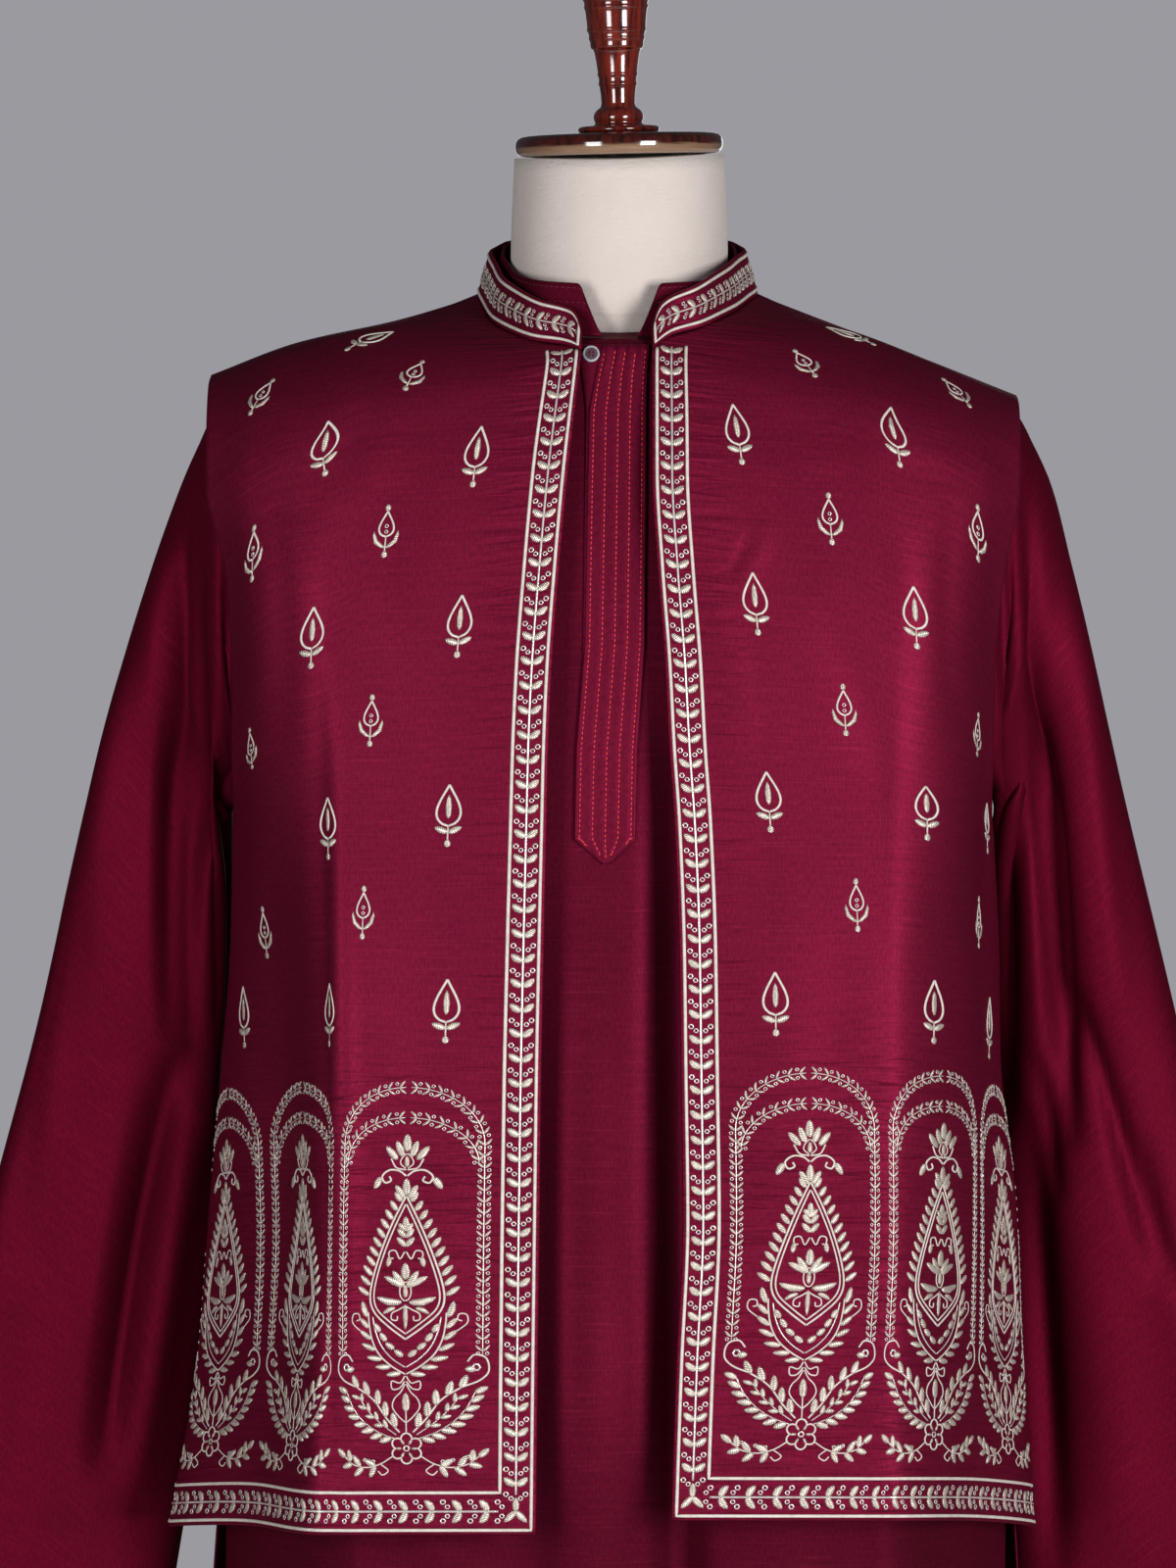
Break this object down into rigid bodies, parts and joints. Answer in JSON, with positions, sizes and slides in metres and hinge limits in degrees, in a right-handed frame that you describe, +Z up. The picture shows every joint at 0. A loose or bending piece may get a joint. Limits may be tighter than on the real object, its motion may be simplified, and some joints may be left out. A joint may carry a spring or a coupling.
{
  "type": "nehru jacket set on a limbless dress form",
  "caption": "Sleeveless band-collar jacket worn open over a long-sleeved collared shirt, on a limbless dress form with a turned wooden top, pole and round base.",
  "frame": {"origin": "middle of the stand base's underside, on the floor", "axes": "+Z up along the pole, +X towards the viewer's right, the garment's front faces -Y"},
  "size_m": [0.8224, 0.384, 1.6397],
  "materials": {
    "jacket_silk": "plain-weave dupion silk, soft sheen",
    "kurta_silk": "shot dupion silk with fine horizontal slubs",
    "placket_silk": "shot silk with rows of red topstitching",
    "ivory_thread": "twisted embroidery thread",
    "silver_sequin": "small glossy metallic sequin",
    "red_stitch": "topstitching thread",
    "button_resin": "clear polished resin",
    "form_jersey": "stretched knitted jersey over foam",
    "turned_wood": "glossy red-brown lacquer",
    "stand_metal": "dark brown enamel",
    "stand_wood": "satin red-brown lacquer"
  },
  "bodies": {
    "root": {"jacket_front_left": "jacket_silk", "jacket_front_right": "jacket_silk", "jacket_back": "jacket_silk", "jacket_collar": "jacket_silk", "kurta_front": "kurta_silk", "kurta_back": "kurta_silk", "kurta_collar": "kurta_silk", "kurta_underplacket": "placket_silk", "kurta_placket": "placket_silk", "kurta_sleeve_left": "kurta_silk", "kurta_sleeve_right": "kurta_silk", "kurta_button": "button_resin", "form_torso": "form_jersey", "form_neck_cap": "turned_wood", "form_finial": "turned_wood", "stand_pole": "stand_metal", "stand_base": "stand_wood"}
  },
  "joints": []
}
